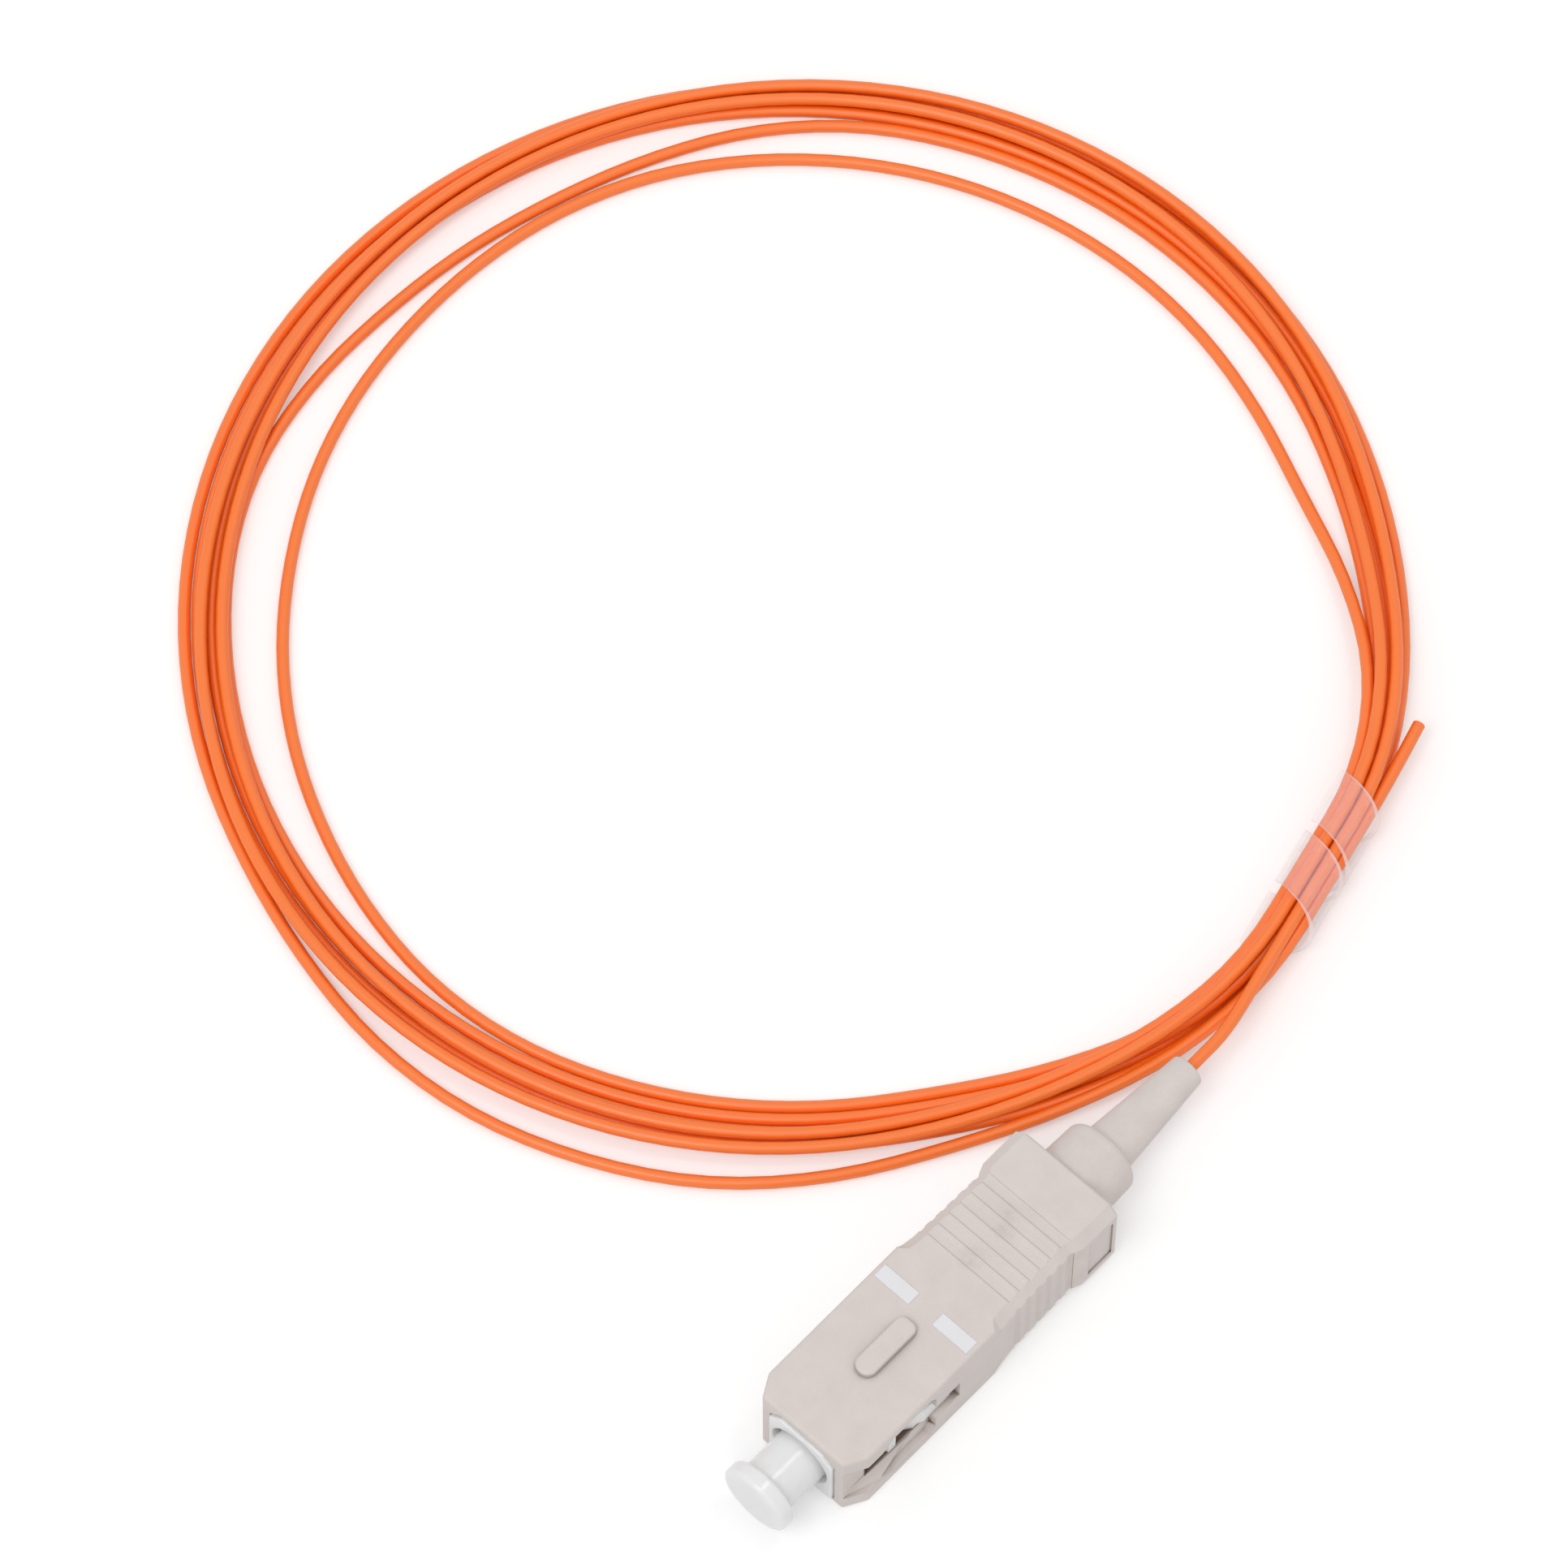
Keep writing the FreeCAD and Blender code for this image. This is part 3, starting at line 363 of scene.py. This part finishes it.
def add_range(tree, noise, low, high):
    """Spreads the middle of a noise over a range."""
    return add_map(tree, noise, (NOISE_LOW, NOISE_HIGH), (low, high))


def add_mean(tree, first, second):
    return add_math(tree, "MULTIPLY", add_math(tree, "ADD", first, second), 0.5)


def paint(tree, shader, noise, dark, light, marks=()):
    """A colour that goes from dark to light with a noise, and marks laid over it."""
    tones = tree.nodes.new("ShaderNodeValToRGB")
    tones.color_ramp.elements[0].position = NOISE_LOW
    tones.color_ramp.elements[0].color = dark
    tones.color_ramp.elements[1].position = NOISE_HIGH
    tones.color_ramp.elements[1].color = light
    tree.links.new(noise, tones.inputs["Fac"])
    colour = tones.outputs["Color"]
    for add in marks:
        colour = add(tree, colour)
    tree.links.new(colour, shader.inputs["Base Color"])


def add_roughness(tree, shader, noise, low, high):
    tree.links.new(add_range(tree, noise, low, high), shader.inputs["Roughness"])


def add_relief(tree, shader, noise, depth, edge_radius):
    """Bump from a noise, over edges that are softened by a small radius."""
    edges = tree.nodes.new("ShaderNodeBevel")
    edges.samples = EDGE_SAMPLES
    edges.inputs["Radius"].default_value = edge_radius
    bump = tree.nodes.new("ShaderNodeBump")
    bump.inputs["Strength"].default_value = 1.0
    bump.inputs["Distance"].default_value = depth
    tree.links.new(noise, bump.inputs["Height"])
    tree.links.new(edges.outputs["Normal"], bump.inputs["Normal"])
    tree.links.new(bump.outputs["Normal"], shader.inputs["Normal"])


def add_tint(tree, colour, share, tint):
    """Multiplies a colour by a tint, as far as the share says."""
    node = tree.nodes.new("ShaderNodeMixRGB")
    node.blend_type = "MULTIPLY"
    node.inputs["Color2"].default_value = tint
    tree.links.new(share, node.inputs["Fac"])
    tree.links.new(colour, node.inputs["Color1"])
    return node.outputs["Color"]


def add_painted_recess_shade(tree, colour):
    """Paints warm shade into a colour where the surface lies in a narrow recess."""
    hollow = tree.nodes.new("ShaderNodeAmbientOcclusion")
    hollow.samples = RECESS_SAMPLES
    hollow.only_local = True
    hollow.inputs["Distance"].default_value = RECESS_REACH
    share = add_map(tree, hollow.outputs["AO"], (RECESS_DEEP, RECESS_OPEN), (1.0, 0.0))
    return add_tint(tree, colour, add_math(tree, "POWER", share, RECESS_RISE), RECESS_SHADE_TINT)


def add_window_shade(tree, colour):
    """Paints shade on the walls inside the side windows, the darker the deeper they lie."""
    axes = tree.nodes.new("ShaderNodeSeparateXYZ")
    tree.links.new(add_place(tree), axes.inputs["Vector"])
    across = add_math(tree, "ABSOLUTE", axes.outputs["Y"])
    share = add_map(tree, across, (WINDOW_EDGE, WINDOW_DEEP))
    for axis, middle, reach in zip("XZ", WINDOW_MIDDLE, WINDOW_REACH):
        inside = add_math(tree, "COMPARE", axes.outputs[axis], middle, reach)
        share = add_math(tree, "MULTIPLY", share, inside)
    return add_tint(tree, colour, share, WINDOW_SHADE_TINT)


def add_grey_patches(tree, colour):
    """Faint grey patches on the ribs of the key side."""
    place = add_place(tree)
    patchy = add_range(tree, add_noise(tree, PATCH_GRAIN), PATCH_WEAK, 1.0)
    marks = []
    for spot in in_metres(GREY_PATCHES):
        away = tree.nodes.new("ShaderNodeVectorMath")
        away.operation = "DISTANCE"
        away.inputs[1].default_value = spot
        tree.links.new(place, away.inputs[0])
        marks.append(add_map(tree, away.outputs["Value"], (PATCH_REACH, 0.0), smooth=True))
    spread = marks[0]
    for mark in marks[1:]:
        spread = add_math(tree, "MAXIMUM", spread, mark)
    return add_tint(tree, colour, add_math(tree, "MULTIPLY", spread, patchy), PATCH_TINT)


def moulded(name, colour, roughness, contrast, grain=0.09 * MM, depth=0.003 * MM, milky=0.0,
            marks=()):
    """Plastic from a finely eroded mould: a matte grain, faint mottling and soft edges."""
    material, tree, shader = new_material(name)
    fine = add_noise(tree, grain, detail=3)
    mixed = add_mean(tree, fine, add_noise(tree, MOTTLE_SIZE))
    dark, light = shaded(colour, 1 - contrast), shaded(colour, 1 + contrast)
    paint(tree, shader, mixed, dark, light, marks)
    add_roughness(tree, shader, fine, roughness - ROUGHNESS_SWING, roughness + ROUGHNESS_SWING)
    adjust(shader, {
        "Subsurface Weight": milky,
        "Subsurface Radius": EVEN_RADIUS,
        "Subsurface Scale": MILKY_DEPTH,
    })
    add_relief(tree, shader, fine, depth, MOULD_EDGE)
    return material


def housing_plastic():
    """The beige grip, with painted shade in its recesses and windows, and faint grey patches."""
    return moulded("housing_plastic", srgb(*BEIGE), roughness=0.52, contrast=0.05,
                   marks=(add_painted_recess_shade, add_window_shade, add_grey_patches))


def boot_rubber():
    return moulded("boot_rubber", srgb(*BEIGE), roughness=0.58, contrast=0.07, grain=0.11 * MM)


def frame_plastic():
    return moulded("frame_plastic", srgb(*FRAME_WHITE), roughness=0.36, contrast=0.012,
                   depth=0.001 * MM, milky=0.8)


def printed_ink():
    """White printed bars: an even film of ink with fine pinholes."""
    return moulded("mark_print", srgb(*INK_WHITE), roughness=0.5, contrast=0.02,
                   grain=0.05 * MM, depth=0.002 * MM)


def glazed_ceramic():
    """Ground zirconia: white, hard and almost polished."""
    material, tree, shader = new_material("ceramic")
    lines = add_noise(tree, 0.02 * MM, stretch=(1, 0.1, 0.1))
    broad = add_noise(tree, MOTTLE_SIZE, detail=1)
    white = srgb(*CERAMIC_WHITE)
    paint(tree, shader, broad, shaded(white, 0.98), white)
    add_roughness(tree, shader, lines, low=0.12, high=0.22)
    adjust(shader, {"IOR": 2.0})
    add_relief(tree, shader, lines, depth=0.0004 * MM, edge_radius=0.03 * MM)
    return material


def milky_cap():
    """Soft natural polyethylene: milky, with light bleeding through it."""
    material, tree, shader = new_material("cap_plastic")
    fine = add_noise(tree, 0.16 * MM)
    broad = add_noise(tree, 1.4 * MM)
    milk = srgb(*CAP_MILK)
    paint(tree, shader, broad, shaded(milk, 0.97), milk)
    add_roughness(tree, shader, fine, low=0.16, high=0.22)
    adjust(shader, {
        "Transmission Weight": 0.12,
        "Subsurface Weight": 1.0,
        "Subsurface Radius": EVEN_RADIUS,
        "Subsurface Scale": 0.6 * MM,
        "IOR": 1.5,
    })
    add_relief(tree, shader, fine, depth=0.002 * MM, edge_radius=0.12 * MM)
    return material


def buffer_jacket():
    """Extruded orange buffer: satin and slightly mottled."""
    material, tree, shader = new_material("buffer_jacket")
    fine = add_noise(tree, 0.12 * MM)
    mixed = add_mean(tree, fine, add_noise(tree, 6 * MM))
    orange = srgb(*ORANGE)
    paint(tree, shader, mixed, shaded(orange, 0.97), shaded(orange, 1.04))
    add_roughness(tree, shader, fine, low=0.34, high=0.46)
    adjust(shader, {"Specular IOR Level": 0.85})
    add_relief(tree, shader, fine, depth=0.002 * MM, edge_radius=0.05 * MM)
    return material


def add_cut_edge_highlight(tree):
    """How much painted highlight shows on the strip's cut edges, which face along the bundle; 0
    on its faces.
    """
    surface = tree.nodes.new("ShaderNodeNewGeometry")
    along = tree.nodes.new("ShaderNodeVectorMath")
    along.operation = "DOT_PRODUCT"
    turned = math.radians(WRAP_ANGLE)
    along.inputs[1].default_value = (-math.sin(turned), math.cos(turned), 0)
    tree.links.new(surface.outputs["True Normal"], along.inputs[0])
    facing = add_math(tree, "ABSOLUTE", along.outputs["Value"])
    return add_map(tree, facing, (FILM_EDGE_FROM, FILM_EDGE_TO), (0.0, FILM_EDGE_HIGHLIGHT))


def clear_film():
    """Clear thin polyethylene strip: slight haze, fine rub marks, painted highlight on cut
    edges.
    """
    material, tree, shader = new_material("wrap_film")
    rub = add_noise(tree, 0.25 * MM, detail=3, stretch=(0.3, 1, 1))
    adjust(shader, {"Base Color": FILM_COLOUR, "IOR": 1.45})
    add_roughness(tree, shader, rub, low=0.12, high=0.26)
    shown = add_math(tree, "MAXIMUM", add_range(tree, rub, *FILM_HAZE), add_cut_edge_highlight(tree))
    tree.links.new(shown, shader.inputs["Alpha"])
    add_relief(tree, shader, rub, depth=0.002 * MM, edge_radius=0.05 * MM)
    return material


def plated_metal(name, colour, roughness, stretch):
    """Turned or drawn metal with fine tool lines."""
    material, tree, shader = new_material(name)
    lines = add_noise(tree, 0.06 * MM, detail=3, stretch=stretch)
    paint(tree, shader, lines, shaded(colour, 0.92), colour)
    add_roughness(tree, shader, lines, roughness - ROUGHNESS_SWING, roughness + ROUGHNESS_SWING)
    adjust(shader, {"Metallic": 1.0})
    add_relief(tree, shader, lines, depth=0.001 * MM, edge_radius=0.04 * MM)
    return material


def turned_metal(name, colour, roughness):
    return plated_metal(name, srgb(*colour), roughness, stretch=(1, 0.2, 0.2))


def spring_steel():
    return plated_metal("spring_steel", srgb(*SPRING_GREY), roughness=0.25, stretch=(1, 1, 1))


def glass_core():
    """Bare glass fibre, seen as a small dark dot in the ferrule's end."""
    material, tree, shader = new_material("glass_fibre")
    haze = add_noise(tree, 0.03 * MM, detail=1)
    paint(tree, shader, haze, srgb(*GLASS_DARK), srgb(*GLASS_LIGHT))
    adjust(shader, {"Roughness": 0.05, "Coat Weight": 0.5})
    return material


def dress(material, node):
    """Puts a material on a part of the frame."""
    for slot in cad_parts[node].material_slots:
        slot.material = material


def add_seen(tree):
    """1 where the camera looks, straight or by way of gloss or glass, and 0 for other light."""
    path = tree.nodes.new("ShaderNodeLightPath")
    seen = path.outputs["Is Camera Ray"]
    for ray in ("Is Glossy Ray", "Is Transmission Ray"):
        seen = add_math(tree, "MAXIMUM", seen, path.outputs[ray])
    return seen


def studio_paper():
    """White paper that keeps the shadows and looks as white as the background."""
    material, tree, shader = new_material("studio_paper")
    adjust(shader, {
        "Base Color": srgb(*PAPER_WHITE),
        "Roughness": 0.9,
        "Emission Color": WHITE,
    })
    lift = add_math(tree, "MULTIPLY", add_seen(tree), PAPER_LIFT)
    tree.links.new(lift, shader.inputs["Emission Strength"])
    return material


def make_floor():
    data = bpy.data.meshes.new("floor")
    reach = FLOOR_REACH
    corners = [(-reach, -reach, 0), (reach, -reach, 0), (reach, reach, 0), (-reach, reach, 0)]
    data.from_pydata(corners, [], [(0, 1, 2, 3)])
    data.materials.append(studio_paper())
    floor = bpy.data.objects.new("floor", data)
    bpy.context.collection.objects.link(floor)


def make_world():
    """A white sky that is a little weaker as a light than it looks."""
    world = bpy.data.worlds.new("studio")
    bpy.context.scene.world = world
    world.use_nodes = True
    tree = world.node_tree
    sky = tree.nodes["Background"]
    sky.inputs["Color"].default_value = WHITE
    level = add_map(tree, add_seen(tree), (0.0, 1.0), (SKY_LIGHT, 1.0))
    tree.links.new(level, sky.inputs["Strength"])


def make_lamp(name, direction, spread, light):
    """A broad soft lamp so far away that the floor is lit evenly."""
    data = bpy.data.lights.new(name, "SUN")
    data.angle = math.radians(spread)
    data.energy = light
    lamp = bpy.data.objects.new(name, data)
    bpy.context.collection.objects.link(lamp)
    lamp.rotation_euler = (-Vector(direction)).to_track_quat("-Z", "Y").to_euler()


def make_camera():
    azimuth = math.radians(VIEW_AZIMUTH)
    elevation = math.radians(VIEW_ELEVATION)
    right = Vector((math.cos(azimuth), math.sin(azimuth), 0))
    level = math.cos(elevation)
    back = Vector((math.sin(azimuth) * level, -math.cos(azimuth) * level, math.sin(elevation)))
    up = back.cross(right)
    data = bpy.data.cameras.new("camera")
    data.lens = LENS
    data.sensor_width = SENSOR
    camera = bpy.data.objects.new("camera", data)
    bpy.context.collection.objects.link(camera)
    distance = FRAME_WIDTH * LENS / SENSOR
    camera.location = right * FRAME_RIGHT + up * FRAME_UP + back * distance
    camera.rotation_mode = "QUATERNION"
    camera.rotation_quaternion = (-back).to_track_quat("-Z", "Y")
    bpy.context.scene.camera = camera


make_camera()
make_floor()
make_world()
make_lamp("key", KEY_FROM, KEY_SPREAD, KEY_LIGHT)
make_lamp("glint", GLINT_FROM, GLINT_SPREAD, GLINT_LIGHT)
make_fibre(buffer_jacket())
dress(housing_plastic(), "outer_housing")
dress(boot_rubber(), "boot")
dress(frame_plastic(), "plug_frame")
dress(printed_ink(), "insertion_marks")
dress(glazed_ceramic(), "ferrule")
dress(milky_cap(), "dust_cap")
dress(clear_film(), "spiral_wrap")
dress(turned_metal("flange_metal", FLANGE_GREY, roughness=0.3), "ferrule_flange")
make_spring(spring_steel())
dress(turned_metal("ring_metal", RING_GREY, roughness=0.35), "stop_ring")
dress(glass_core(), "bare_fibre")
bpy.context.scene.view_settings.view_transform = "Standard"
